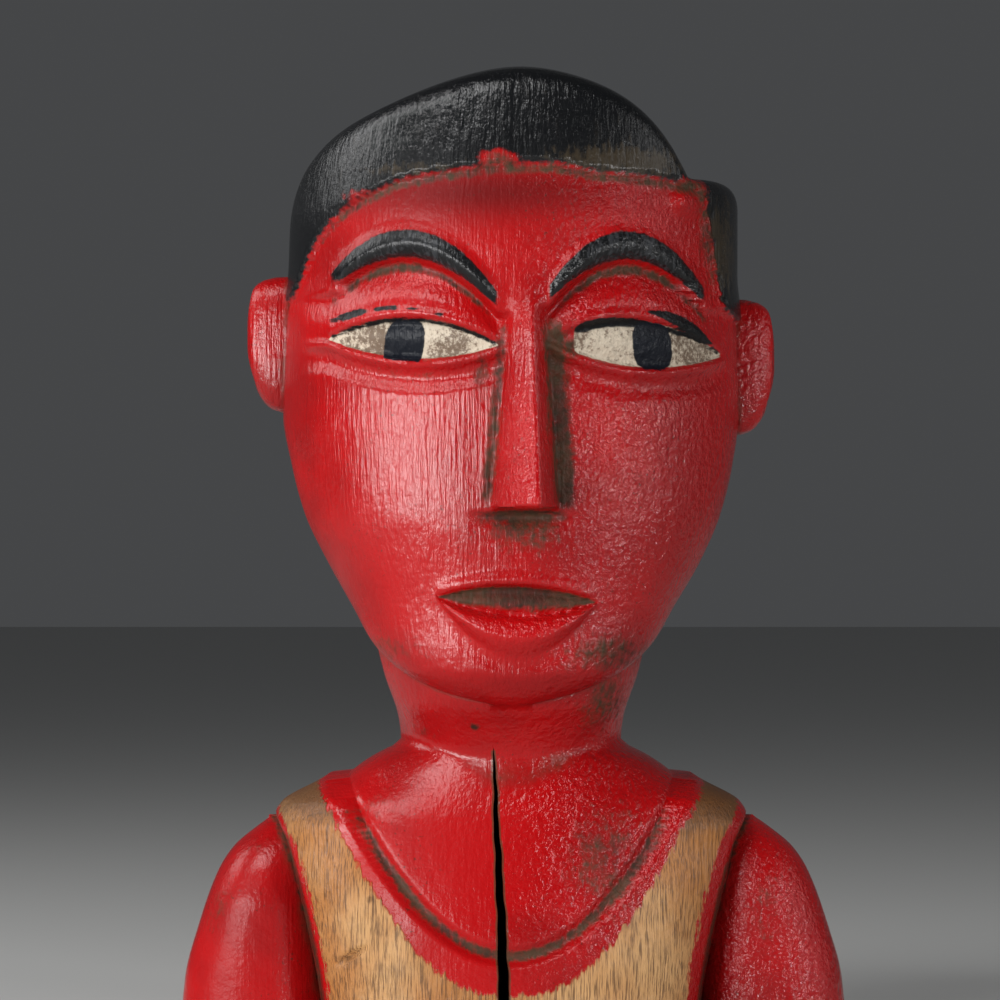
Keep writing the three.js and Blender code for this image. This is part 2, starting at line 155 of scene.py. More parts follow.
def oval(x, y, left, right, front, back, squareness):
    """Distance outside an oval: |x/wide|^n + |y/deep|^n = 1, where n is the squareness."""
    middle = (front + back) / 2
    deep = np.maximum((back - front) / 2, 0.01)
    wide = np.maximum(np.where(x < 0, left, right), 0.01)
    out = np.abs(x / wide) ** squareness + np.abs((y - middle) / deep) ** squareness
    return (out ** (1 / squareness) - 1) * np.minimum(wide, deep)


# Head outlines: shares of the head's height against shares of its half width or its depth
head_left = curve([
    (0, 0.04), (0.026, 0.31), (0.061, 0.49), (0.1, 0.6), (0.15, 0.68), (0.226, 0.8), (0.3, 0.9),
    (0.377, 0.96), (0.46, 1), (0.6, 0.985), (0.68, 0.952), (0.76, 0.942), (0.83, 0.905), (0.9, 0.85),
    (1, 0.82),
])
head_right = curve([
    (0, 0.04), (0.026, 0.31), (0.061, 0.5), (0.1, 0.615), (0.15, 0.7), (0.226, 0.825), (0.3, 0.915),
    (0.377, 0.97), (0.46, 1), (0.6, 0.99), (0.68, 0.968), (0.8, 0.968), (1, 0.94),
])
head_front = curve([
    (0, 0.34), (0.02, 0.375), (0.06, 0.405), (0.16, 0.41), (0.3, 0.425), (0.5, 0.43), (0.64, 0.455),
    (0.76, 0.46), (0.84, 0.45), (1, 0.415),
])
head_rear = curve([
    (0, 0.3), (0.06, 0.08), (0.12, -0.12), (0.2, -0.26), (0.3, -0.38), (0.42, -0.49), (0.58, -0.54),
    (0.75, -0.53), (0.9, -0.47), (1, -0.4),
])
head_middle = head_back - 0.535 * head_depth


def face_at(up):
    """How far back the front of the head lies at a share of its height."""
    return head_middle - head_depth * head_front(up)


def nape_at(up):
    """How far back the rear of the head lies at a share of its height."""
    return head_middle - head_depth * head_rear(up)


# The crown's highest line lies a little to the right; on the right a parting drops to a ledge of hair
crown_shift = 0.04
crown_forward = -0.16
crown_fall = 0.155
crown_fall_right = 0.45
crown_fall_along = 0.2
crown_fall_back = 0.12
ledge_height = 0.838
ledge_slope = 0.018
parting_round = 0.006


def crown_height(x, y):
    """A dome that falls by about |across|^1.55, and by a fifth power on the right, met by the ledge there."""
    across = x / half_head - crown_shift
    along = y / head_depth - crown_forward
    blunt = 0.02
    sides = crown_fall * ((across**2 + blunt) ** 0.775 - blunt**0.775)
    sides = sides + crown_fall_right * np.maximum(across, 0) ** 5
    dome = 1 - sides - crown_fall_along * along**2 - crown_fall_back * np.maximum(along, 0) ** 3
    ledge = ledge_height - ledge_slope * across - crown_fall_along * along**2
    top = np.where(across > 0, meet(dome, ledge, parting_round), dome)
    return chin_height + head_height * top - hair_thickness


# Face carving, in shares: across from the middle to the head's side, and up from chin to crown
eyes = [
    {"inner": (-0.05, 0.56), "outer": (-0.789, 0.573), "rise": 0.034, "fall": 0.026},
    {"inner": (0.16, 0.567), "outer": (0.915, 0.548), "rise": 0.041, "fall": 0.03},
]
brows = [
    {"inner": (-0.061, 0.63), "outer": (-0.768, 0.663), "arch": 0.07},
    {"inner": (0.16, 0.64), "outer": (0.825, 0.64), "arch": 0.0744},
]
mouth = {"left": (-0.322, 0.173), "right": (0.37, 0.165), "rise": 0.021, "fall": 0.029, "lip": 0.086}
nose = {
    "bottom": 0.31,
    "top": 0.605,
    "left": (-0.086, -0.012),
    "ridge": (0.119, 0.088),
    "right": (0.204, 0.145),
}
brow_thickness = 0.021
notch_middle = 0.045
least_opening = 0.004

# How far the carving stands out or is cut in, how soft its edges are, and the temple's bump, in millimetres
face_sharpness = 0.5
lid_depth = 2.0
lid_rim = 0.5
eyeball_depth = 1.15
eyeball_dome = 0.4
lower_lid = 0.45
lower_lid_hollow = 0.75
brow_height = 0.95
mouth_depth = 1.5
mouth_ridge = 0.6
lower_lip_height = 1.7
lower_lip_hollow = 0.3
upper_lip_height = 0.5
notch_depth = 0.9
temple_bump = {"across": 25.9, "up": 126.1, "wide": 3.4, "high": 3.0, "height": 1.2}


def along_line(start, end, across):
    """How far a place lies along the line from start to end, and the line's height there."""
    share = (across - start[0]) / (end[0] - start[0])
    return share, mix(start[1], end[1], np.clip(share, 0, 1))


def brow_place(brow, across, up):
    """Share along the brow, and height over its middle line as a part of its half thickness."""
    share, line = along_line(brow["inner"], brow["outer"], across)
    middle = line + brow["arch"] * arch(share)
    return share, (up - middle) / brow_thickness


def almond(eye, across):
    """Share along the eye, and the heights of its upper and lower edge."""
    share, line = along_line(eye["inner"], eye["outer"], across)
    return share, line + eye["rise"] * arch(share), line - eye["fall"] * arch(share)


def eye_relief(eye, brow, across, up):
    """Brow's undercut, domed lid, rim, eyeball and lower lid, as millimetres along the eye's height."""
    share, top, bottom = almond(eye, across)
    brow_share, line = along_line(brow["inner"], brow["outer"], across)
    under_brow = line + brow["arch"] * arch(brow_share) - brow_thickness
    mm = head_height
    reach = np.sqrt(arch(share))
    soft = face_sharpness
    above = step(-soft, soft, (up - top) * mm)
    below = step(soft, -soft, (up - bottom) * mm)
    room = np.maximum(under_brow - top, 0.02)
    fallen = (under_brow - up) / room
    overhang = 1 - 0.65 * step(0.6, 1.05, brow_share)
    undercut = step(-0.5, 1.0, fallen * room * mm) * (1 - 0.85 * step(0.15, 0.75, fallen))
    lid = -lid_depth * overhang * undercut
    rim = lid_rim * mound(((up - top) * mm - 0.9) / 1.3) * reach
    level = (up - bottom) / np.maximum(top - bottom, least_opening)
    ball = -eyeball_depth + eyeball_dome * mound(2 * level - 1) * reach
    under = (bottom - up) * mm
    lower = lower_lid * mound((under - 0.9) / 1.1) - lower_lid_hollow * mound((under - 2.9) / 2.4)
    inside = step(-0.1, 0.05, share) * step(1.25, 0.95, share)
    return inside * (above * (lid + rim) + (1 - above - below) * ball * reach + below * lower)


def brow_relief(brow, across, up):
    """A raised arc, softer above its middle line than below it, and sloping away at both ends."""
    share, height = brow_place(brow, across, up)
    ends = step(-0.05, 0.12, share) * step(1.06, 0.88, share)
    return brow_height * ends * np.where(height > 0, mound(height / 1.7), mound(height / 1.15))


def mouth_relief(across, up):
    """A lens cut in with a low ridge along it, a full lower lip and a thin rim above."""
    share, line = along_line(mouth["left"], mouth["right"], across)
    reach = arch(share)
    top = line + mouth["rise"] * reach
    bottom = line - mouth["fall"] * reach
    lip = line - mouth["lip"] * reach
    mm = head_height
    soft = 0.7 * face_sharpness
    within = step(soft, -soft, (up - top) * mm) * step(-soft, soft, (up - bottom) * mm)
    level = (up - bottom) / np.maximum(top - bottom, least_opening)
    opening = within * np.sqrt(reach) * (-mouth_depth + mouth_ridge * mound((level - 0.4) / 0.4))
    lip_middle = (bottom + lip) / 2
    lip_half = np.maximum((bottom - lip) / 2, 0.001) * 1.22
    lower_lip = lower_lip_height * np.sqrt(reach) * mound((up - lip_middle) / lip_half)
    hollow = -lower_lip_hollow * reach * mound(((lip - up) * mm - 1.6) / 2.2)
    upper_lip = upper_lip_height * mound(((up - top) * mm - 0.8) / 1.6) * np.sqrt(reach)
    return opening + lower_lip + hollow + upper_lip


def notch_relief(across, up):
    """Wedge-shaped cut under the nose: deep at its straight upper edge, and tapering to both ends."""
    drop = (nose["bottom"] - 0.008 - up) * head_height
    half = mix(0.26, 0.21, np.clip(drop / 7, 0, 1))
    inside = mound((across - notch_middle) / half) * step(-0.4, 0.5, drop)
    return -inside * (notch_depth * step(2.6, 0.2, drop) + notch_depth * step(8, 0.5, drop))


def nose_relief(across, up):
    """A wedge with a flat underside and a blunt ridge right of its middle, boxier towards the tip."""
    share = np.clip((up - nose["bottom"]) / (nose["top"] - nose["bottom"]), 0, 1.25)
    left, ridge, right = (mix(*nose[name], np.minimum(share, 1)) for name in ("left", "ridge", "right"))
    height = nose_reach * (1 - 0.74 * share) * step(1.25, 0.9, share)
    roof = join((across - left) / (ridge - left), (right - across) / (right - ridge), 0.3) / 0.925
    flat = step(-0.35, 0.25, (up - nose["bottom"]) * head_height)
    return height * np.clip(roof, 0, 1) ** mix(0.6, 0.85, np.minimum(share, 1)) * flat


# The hairline's share of the head's height by degrees round the head: from the back, over the left ear,
# across the forehead, and over the right ear to the back again
hairline = curve([
    (-180, 0.34), (-122, 0.36), (-110, 0.5), (-101, 0.67), (-87, 0.655), (-78, 0.635), (-71, 0.642),
    (-63, 0.676), (-53, 0.73), (-42, 0.776), (-33, 0.8), (-26, 0.817), (-16, 0.828), (-9, 0.834),
    (0, 0.84), (8, 0.841), (20, 0.828), (32, 0.8235), (41, 0.816), (49, 0.806), (53, 0.775), (57, 0.7),
    (61, 0.64), (66, 0.615), (80, 0.605), (88, 0.635), (101, 0.64), (110, 0.48), (122, 0.36), (180, 0.34),
])


def hair_edge(x, y, z):
    """Millimetres over the hairline, read at the degrees round the head from the front."""
    angle = np.degrees(np.arctan2(x, axis_back - y))
    return z - chin_height - head_height * hairline(angle)


def face_relief(x, y, z):
    """All carving of the face, faded out towards the sides, and the hair's thickness over the hairline."""
    across = x / half_head
    up = (z - chin_height) / head_height
    facing = step(-0.1, -0.24, y / head_depth)
    raised = mouth_relief(across, up) + notch_relief(across, up) + nose_relief(across, up)
    for eye, brow in zip(eyes, brows):
        raised = raised + eye_relief(eye, brow, across, up) + brow_relief(brow, across, up)
    bump_across = (x - temple_bump["across"]) / temple_bump["wide"]
    bump_up = (z - temple_bump["up"]) / temple_bump["high"]
    raised = raised + temple_bump["height"] * mound(np.hypot(bump_across, bump_up))
    return facing * raised + hair_thickness * step(-0.35, 0.35, hair_edge(x, y, z))


def head(x, y, z):
    """An oval that changes with height, met by the crown with a rounded edge, less the face's relief."""
    up = (z - chin_height) / head_height
    left = half_head * head_left(up)
    right = half_head * head_right(up)
    sides = oval(x, y, left, right, face_at(up), nape_at(up), head_squareness)
    back = y / head_depth
    ledge_corner = 0.65 * step(0.15, 0.8, x / half_head) * step(0.3, 0, back)
    rounding = crown_round * mix(1, 4, step(-0.4, 0.35, back) * (1 - ledge_corner))
    shaped = meet(sides, z - crown_height(x, y), rounding)
    return np.maximum(shaped - face_relief(x, y, z), chin_height - z)


neck_side = curve([(-1, 1), (0, 1), (0.6, 1.02), (1.8, 1.15), (3, 1.25)])
neck_front = curve([(-1, 1), (-0.4, 1), (0.4, 1.16), (1.1, 1.36), (2, 1.4)])


def neck(x, y, z):
    """A nearly round post that swells forward under the chin and ends inside the head."""
    up = (z - shoulder_height) / (chin_height - shoulder_height)
    wide = neck_width / 2 * neck_side(up)
    throat = -neck_depth / 2 * neck_front(up)
    form = oval(x, y, wide, wide, throat, neck_depth / 2, neck_squareness)
    return np.maximum(form, z - chin_height - 0.3 * head_height)


chest_side = curve([
    (-0.1, 0.8), (0, 0.81), (0.2, 0.84), (0.42, 0.905), (0.62, 0.975), (0.72, 0.985), (0.8, 0.92),
    (0.87, 0.76), (0.95, 0.6), (1, 0.46),
])
chest_fore = curve([(0, 1), (0.25, 1), (0.5, 0.96), (0.75, 0.86), (0.88, 0.77), (1, 0.68)])
chest_rear = curve([(0, 1), (0.35, 1.02), (0.6, 1), (0.8, 0.9), (1, 0.76)])


def bare_chest(x, y, z):
    """An oval whose sides draw in over the shoulders, ending at the shoulder height."""
    up = z / shoulder_height
    wide = half_chest * chest_side(up)
    front = -chest_front * chest_fore(up)
    rear = (chest_depth - chest_front) * chest_rear(up)
    form = oval(x, y, wide, wide, front, rear, chest_squareness)
    return np.maximum(form, z - shoulder_height)


# The vest's outline seen from the front or the back, in shares of the shoulder height and half chest
neckline_front = 0.315
neckline_back = 0.6
neckline_top = 0.967
neckline_reach = 0.83
armhole = curve([(-0.1, 0.78), (0.2, 0.815), (0.45, 0.88), (0.67, 0.965), (0.8, 1.05), (1.1, 1.12)])
neckline_groove = 0.6

# The chisel mark's middle, the way its long side runs, and its reach and depth in millimetres
gouge_mark = {"across": -23.4, "up": 15.5, "way": (0.842, 0.539), "long": 3.4, "wide": 0.8, "deep": 0.6}


def vest_edges(x, y, z):
    """Millimetres inside the neckline's bow and inside the armhole, both positive on the vest."""
    lowest = mix(neckline_front, neckline_back, step(-1, 1, y))
    rise = (neckline_top - lowest) / neckline_reach**2
    across = np.abs(x) / half_chest
    bow = lowest + rise * across**2
    steep = 2 * rise * across * shoulder_height / half_chest
    inside_bow = (bow * shoulder_height - z) / np.sqrt(1 + steep**2)
    inside_arm = (armhole(z / shoulder_height) - across) * half_chest
    return inside_bow, inside_arm


def gouge(x, y, z):
    """A short slanting chisel mark on the left strap: a long oval mound, turned and cut in."""
    beside = x - gouge_mark["across"]
    over = z - gouge_mark["up"]
    way_x, way_z = gouge_mark["way"]
    along = (way_x * beside + way_z * over) / gouge_mark["long"]
    across = (way_x * over - way_z * beside) / gouge_mark["wide"]
    return gouge_mark["deep"] * mound(np.hypot(along, across)) * (y < 0)


def chest(x, y, z):
    """The bare chest under the vest's thickness, with a groove along the neckline and the chisel mark."""
    inside_bow, inside_arm = vest_edges(x, y, z)
    cloth = mix(vest_thickness, strap_thickness, step(0.65, 0.85, z / shoulder_height))
    cover = step(-0.6, 0.9, inside_bow) * step(-0.4, 0.4, inside_arm)
    groove = neckline_groove * mound((inside_bow + 1.1) / 1.7) * step(0, 1, inside_arm)
    return bare_chest(x, y, z) - cloth * cover + groove + gouge(x, y, z)


def torso(x, y, z):
    """Chest and neck joined with a small fillet."""
    return join(chest(x, y, z), neck(x, y, z), neck_round)


arm_outer = curve([
    (-0.1, 1), (0, 1), (0.3, 0.985), (0.54, 0.94), (0.75, 0.885), (0.85, 0.84), (0.95, 0.755), (1, 0.7),
])
arm_cap = curve([(0, 1), (0.62, 1), (0.75, 0.93), (0.86, 0.76), (0.95, 0.47), (1, 0.12)])
arm_skew = {-1: 0.99, 1: 1.005}


def arm(side):
    """A tapered post with a rounded top, sunk a little into the chest's side."""
    def form(x, y, z):
        up = z / arm_top
        outer = arm_span / 2 * arm_outer(up) * arm_skew[side]
        inner = half_chest * chest_side(0.55 * z / shoulder_height) - arm_sink
        wide = (outer - inner) / 2
        deep = arm_depth / 2 * arm_cap(up)
        beside = side * x - (outer + inner) / 2
        post = oval(beside, y, wide, wide, arm_back - deep, arm_back + deep, arm_squareness)
        return np.maximum(post, z - arm_top)

    return form


ear_up = {-1: 0.57, 1: 0.534}


def ear_middle(side):
    """Height of the ear's middle: the left ear sits higher."""
    return chin_height + head_height * ear_up[side]


def ear(side):
    """A slab |x|^4 + |y|^4 + |z|^4 = 1 on the head's side, narrower below and dished outside."""
    def form(x, y, z):
        up = (z - ear_middle(side)) / (ear_height / 2)
        out = (side * x - half_head + ear_sink) / (ear_reach + ear_sink)
        out = out / (1 - 0.22 * step(0, -1, up))
        along = (y - ear_back) / (ear_depth / 2)
        slab = (out**4 + along**4 + up**4) ** 0.25
        dish = ear_hollow * mound((along + 0.1) / 0.65) * mound((up - 0.08) / 0.8) * step(0.4, 0.8, out)
        return (slab - 1) * ear_reach + dish

    return form


# Meshes
def leave(form, start, way, far):
    """Distance along each ray to the outermost place inside the form.

    Each ray comes in from far, by half the form's distance or a quarter of a millimetre at a time, and the
    last step is then halved until it is a ten thousandth of that.
    """
    shortest, halvings = 0.25, 13
    near = np.full(len(start), float(far))
    outer = near.copy()
    waiting = np.arange(len(start))
    while len(waiting):
        gap = form(*(start[waiting] + way[waiting] * near[waiting, None]).T)
        waiting, gap = waiting[gap > 0], gap[gap > 0]
        outer[waiting] = near[waiting]
        near[waiting] -= np.maximum(gap / 2, shortest)
        waiting = waiting[near[waiting] > 0]
    low = np.maximum(near, 0)
    high = outer
    for _ in range(halvings):
        middle = (low + high) / 2
        inside = form(*(start + way * middle[:, None]).T) < 0
        low = np.where(inside, middle, low)
        high = np.where(inside, high, middle)
    return np.maximum(low, 0.05)


def skin_of(form, starts, tilts, turns, far):
    """A closed skin: one ring of rays for each start and tilt, and a point closing either end.

    The ray at turn t and tilt e runs along (sin t cos e, -cos t cos e, sin e). Each cell is split along the
    diagonal whose middle lies nearer the form.
    """
    starts, tilts, turns = (np.asarray(values, float) for values in (starts, tilts, turns))
    rows, count = len(starts), len(turns)
    level = np.cos(tilts)[:, None]
    way = np.stack([
        np.sin(turns) * level,
        -np.cos(turns) * level,
        np.sin(tilts)[:, None] + 0 * turns,
    ], axis=-1).reshape(-1, 3)
    start = np.repeat(starts, count, axis=0)
    points = start + way * leave(form, start, way, far)[:, None]
    up = np.array([[0, 0, 1.0]])
    top = starts[-1:] + up * leave(form, starts[-1:], up, far)[:, None]
    points = np.concatenate([points, starts[:1], top])
    here = np.arange(rows * count).reshape(rows, count)
    beside = np.roll(here, -1, axis=1)
    a, b, c, d = (corner.ravel() for corner in (here[:-1], beside[:-1], beside[1:], here[1:]))

    def off(p, q):
        return np.abs(form(*((points[p] + points[q]) / 2).T))

    last = np.where(off(a, c) < off(b, d), c, d)
    other = np.where(last == c, a, b)
    foot = np.stack([np.full(count, rows * count), beside[0], here[0]], axis=-1)
    cap = np.stack([np.full(count, rows * count + 1), here[-1], beside[-1]], axis=-1)
    split = [np.stack([a, b, last], axis=-1), np.stack([other, c, d], axis=-1)]
    return points, np.concatenate([*split, foot, cap]).tolist()


def spread(start, end, count):
    """Evenly spaced values from start to end."""
    return np.linspace(start, end, count)


def on_axis(x, y, heights):
    """Points over one place, or over a line of places, at the given heights."""
    heights = np.asarray(heights, float)
    return np.stack([x + 0 * heights, y + 0 * heights, heights], axis=-1)


# Torso and arms start a little below the flat cut, which trims them
below_cut = -1.5


def head_skin():
    """Rays from a line that leans forward to the chin; columns crowd together over the face."""
    level = 0.66
    low = np.concatenate([spread(0.004, 0.05, 10), spread(0.055, level, 140)])
    lean = mix((face_at(low) + nape_at(low)) / 2, axis_back, step(0.05, 0.25, low))
    tilted = np.radians(np.concatenate([spread(0.6, 30, 44), spread(32, 86, 30)]))
    height = chin_height + head_height * np.concatenate([low, np.full(len(tilted), level)])
    starts = on_axis(0, np.concatenate([lean, np.full(len(tilted), axis_back)]), height)
    across = spread(-0.93, 0.93, 176)
    face = np.arctan2(across * half_head, axis_back - face_at(0.5))
    rest = np.radians(spread(47.5, 312.5, 100))
    tilts = np.concatenate([0 * low, tilted])
    return skin_of(head, starts, tilts, np.concatenate([face, rest]), far=52)


def torso_skin():
    """Rays from the middle axis; columns crowd together over the front of the chest."""
    chest_rows = spread(below_cut, 0.97 * shoulder_height, 118)
    neck_rows = spread(0.98, 1.55, 24) * shoulder_height
    heights = np.concatenate([chest_rows, neck_rows])
    turns = np.radians(np.concatenate([spread(-74, 74, 160), spread(77, 283, 56)]))
    return skin_of(torso, on_axis(0, 0, heights), 0 * heights, turns, far=60)


def arm_skin(side):
    """Rays from a line that leans in towards the arm's top; rows crowd together over its rounded end."""
    heights = np.concatenate([spread(below_cut, 0.7 * arm_top, 26), spread(0.72, 0.985, 22) * arm_top])
    up = np.clip(heights / arm_top, 0, 1)
    middle = mix((arm_span + chest_width * chest_side(0.0)) / 4, 0.36 * arm_span, up**3)
    starts = on_axis(side * middle, arm_back, heights)
    return skin_of(arm(side), starts, 0 * heights, np.radians(spread(0, 355, 72)), far=30)


def ear_skin(side):
    """Rays from an upright line inside the ear."""
    heights = ear_middle(side) + ear_height / 2 * spread(-0.985, 0.985, 44)
    starts = on_axis(side * (half_head - ear_sink / 3), ear_back, heights)
    return skin_of(ear(side), starts, 0 * heights, np.radians(spread(0, 354, 60)), far=20)


def crack_lines(z):
    """The crack at a height: its share of the way up, its middle, and half its width on the chest."""
    share = np.clip(z / (shoulder_height - crack_short), 0, 1)
    wander = 0.2 * np.sin(5.5 * share) + 0.07 * np.sin(31 * share) + 0.05 * np.sin(67 * share + 1)
    middle = mix(crack_foot_x, crack_end_x, share**1.5) + wander
    narrowest = 0.02
    return share, middle, np.maximum(crack_width / 2 * (1 - share) ** 0.6, narrowest)


def crack_wedge():
    """The drying crack as a wedge that narrows up the chest and into the wood."""
    height = spread(-4, shoulder_height - crack_short, 60)
    share, middle, half = crack_lines(height)
    outside = -1.35 * chest_front + 0 * share
    surface = -chest_front * chest_fore(height / shoulder_height)
    tip = surface + crack_depth * mix(1, 0.45, share)
    half = half * (tip - outside) / (tip - surface)
    rings = np.stack([
        np.stack([middle - half, outside, height], axis=-1),
        np.stack([middle + half, outside, height], axis=-1),
        np.stack([middle, tip, height], axis=-1),
    ], axis=1)
    return tube(rings)


def tube(rings):
    """A closed tube through rings of equally many points, with flat ends."""
    rows, count = rings.shape[:2]
    here = np.arange(rows * count).reshape(rows, count)
    beside = np.roll(here, -1, axis=1)
    quads = np.stack([here[:-1], beside[:-1], beside[1:], here[1:]], axis=-1).reshape(-1, 4)
    return rings.reshape(-1, 3), [*quads.tolist(), here[0, ::-1].tolist(), here[-1].tolist()]


def block_below():
    """Everything under the flat cut."""
    reach, deep = 90.0, 30.0
    square = np.array([(-reach, -reach), (reach, -reach), (reach, reach), (-reach, reach)])
    rings = np.stack([np.column_stack([square, np.full(4, height)]) for height in (-deep, 0.0)])
    return tube(rings)


def mesh_object(name, points, faces):
    """A mesh in the scene from points in millimetres."""
    mesh = bpy.data.meshes.new(name)
    mesh.from_pydata((points * to_metres).tolist(), [], faces)
    mesh.update()
    piece = bpy.data.objects.new(name, mesh)
    bpy.context.scene.collection.objects.link(piece)
    return piece


def apply_boolean(piece, other, operation):
    """Join or cut by the other mesh, then forget it."""
    cut = piece.modifiers.new("joined", "BOOLEAN")
    cut.solver = "MANIFOLD"
    cut.operation = operation
    cut.object = other
    bpy.context.view_layer.update()
    done = bpy.data.meshes.new_from_object(piece.evaluated_get(bpy.context.evaluated_depsgraph_get()))
    piece.modifiers.clear()
    old = piece.data
    piece.data = done
    bpy.data.meshes.remove(old)
    gone = other.data
    bpy.data.objects.remove(other)
    bpy.data.meshes.remove(gone)


def carve():
    """The head with torso, arms and ears joined to it, less the crack and all that is under the cut."""
    piece = mesh_object("painted_bust", *head_skin())
    skins = [torso_skin()] + [part(side) for part in (arm_skin, ear_skin) for side in (-1, 1)]
    for skin in skins:
        apply_boolean(piece, mesh_object("added", *skin), "UNION")
    apply_boolean(piece, mesh_object("crack", *crack_wedge()), "DIFFERENCE")
    apply_boolean(piece, mesh_object("below", *block_below()), "DIFFERENCE")
    return piece


# Black strokes by the eyes: the height of a stroke's middle and half its thickness, by the place across
strokes = [
    (
        curve([
            (-26.4, 108.7), (-24.1, 109.3), (-21.6, 109.9), (-17.1, 110.4), (-14.2, 110.2), (-10.3, 109.3),
        ]),
        curve([
            (-27.4, -0.4), (-26.4, 0.3), (-24, 0.6), (-21.6, 0.45), (-20.4, 0), (-19.5, 0.3), (-17, 0.35),
            (-15.8, 0), (-14.2, 0.3), (-12.2, -0.1), (-10.3, 0.25), (-9, -0.4),
        ]),
    ),
    (
        curve([
            (9.2, 107.1), (11.8, 107.9), (14.9, 108.3), (17.9, 108.2), (22.2, 107.4), (25.7, 106.6),
            (30.5, 104),
        ]),
        curve([
            (8.6, -0.4), (9.6, 0.5), (10.8, 0.75), (18, 0.65), (22, 0.45), (26, 0.3), (30, 0.2),
            (31.2, -0.4),
        ]),
    ),
    (
        curve([(19.6, 109.9), (21.4, 109.6), (24.4, 108.6), (27.5, 107), (29.6, 105.1), (30.6, 104.2)]),
        curve([
            (18.4, -0.4), (19.6, 0.1), (21.4, 0.5), (24, 0.9), (27, 0.8), (29, 0.5), (30.6, 0.15),
            (31.6, -0.4),
        ]),
    ),
]
# Each iris: its middle across and up, and how far it leans for each millimetre up
irises = [(-15.5, 105.2, 0.12), (20.5, 104.9, -0.1)]
iris_half_width = 2.9
iris_half_height = 3.5
iris_squareness = 3.2

# Where the cream of each eye starts, as a share of the way along the eye from its inner corner
white_starts = (0.01, 0.14)

# How wide the red edge is round the vest's bare wood, at the middle and the ends of the neckline
trim_middle = 4.8
trim_ends = 2.2
armhole_trim_left = 1.2
armhole_trim_right = 2.3

# Dirt and painted shade, seen from the front: middle across and up, reach across and up, and strength
dirt_and_shade_places = [
    (13.5, 31, 8, 10, 0.62), (-21, 37, 6, 3, 0.4), (-13, 48, 6, 3, 0.45), (14, 53, 5, 6, 0.7),
    (15, 60, 9, 3.5, 0.75), (-17, 61, 8, 3, 0.5), (29.6, 121, 2.6, 8, 0.9), (6.9, 97, 2.2, 10, 0.95),
    (8.5, 104.5, 2.6, 2, 0.8), (-4.4, 101, 1.6, 6, 0.7), (-37.6, 104.2, 1, 0.9, 1.6),
    (-20.5, 23.9, 1, 0.9, 1.1), (-5.3, 49.2, 0.9, 0.7, 1.1), (-35.8, 107, 0.5, 8, 0.9),
    (34.8, 105, 1.3, 9, 0.9), (-44, 20, 5, 9, 0.35), (38, 22, 3, 9, 0.5), (-40, 32, 5, 4, 0.55),
    (-45, 27, 2, 6, 0.5), (-24, 15, 2.2, 1.1, 0.8),
]
# Places where the black is worn thin
worn_places = [
    (16, 131.6, 12, 2.6, 1), (31, 119, 2.6, 9, 0.9), (-14, 130.5, 9, 1.4, 0.7), (24, 136, 5, 4, 0.5),
]
# Places where red is smeared over the hairline
red_smears = [(-1.9, 130.6, 3.4, 3, 1), (26, 127.4, 3.2, 2.6, 1), (-22, 127, 5, 1.6, 0.5)]
# Places where the red is deeper and duller: painted shade on the right side, jaw and chin, darker paint on
# the forehead
deep_and_shaded_places = [
    (-3, 127, 27, 4.6, 1), (4, 56, 15, 4, 0.5), (16, 61, 7, 6, 0.6), (14, 33, 9, 12, 0.5),
    (-26, 62, 5, 6, 0.3), (24, 88, 6, 30, 0.45), (30, 26, 20, 20, 0.3), (-26, 118, 5, 7, 0.5),
]
# Places where the paint has lost its gloss
dull_places = [
    (-45, 16, 9, 26, 1), (-13, 30, 10, 13, 0.75), (-3, 125, 28, 7, 1), (0, 118, 6, 6, 0.5),
    (6, 75, 7, 5, 0.5), (36, 22, 5, 9, 0.3), (-34, 100, 4, 22, 0.6), (0, 55, 14, 5, 0.4),
    (-20, 20, 6, 16, 0.8), (0, 12, 30, 5, 0.7), (-30, 80, 6, 12, 0.8), (-22, 66, 6, 9, 0.6),
    (-21, 28, 5, 9, 0.9), (-12, 16, 6, 6, 0.9), (-1, 112, 5, 6, 0.7),
]

# The measure far outside a painted area, the face's furthest back place, and where the forehead starts
far_out = -20.0
face_front = -10
forehead = 120


def smudges(places, x, z):
    """The strongest of several marks, each falling off as exp(-(dx/reach)^2 - (dz/reach)^2)."""
    marks = [
        strength * np.exp(-(((x - across) / wide) ** 2) - ((z - up) / high) ** 2)
        for across, up, wide, high, strength in places
    ]
    return np.max(marks, axis=0)


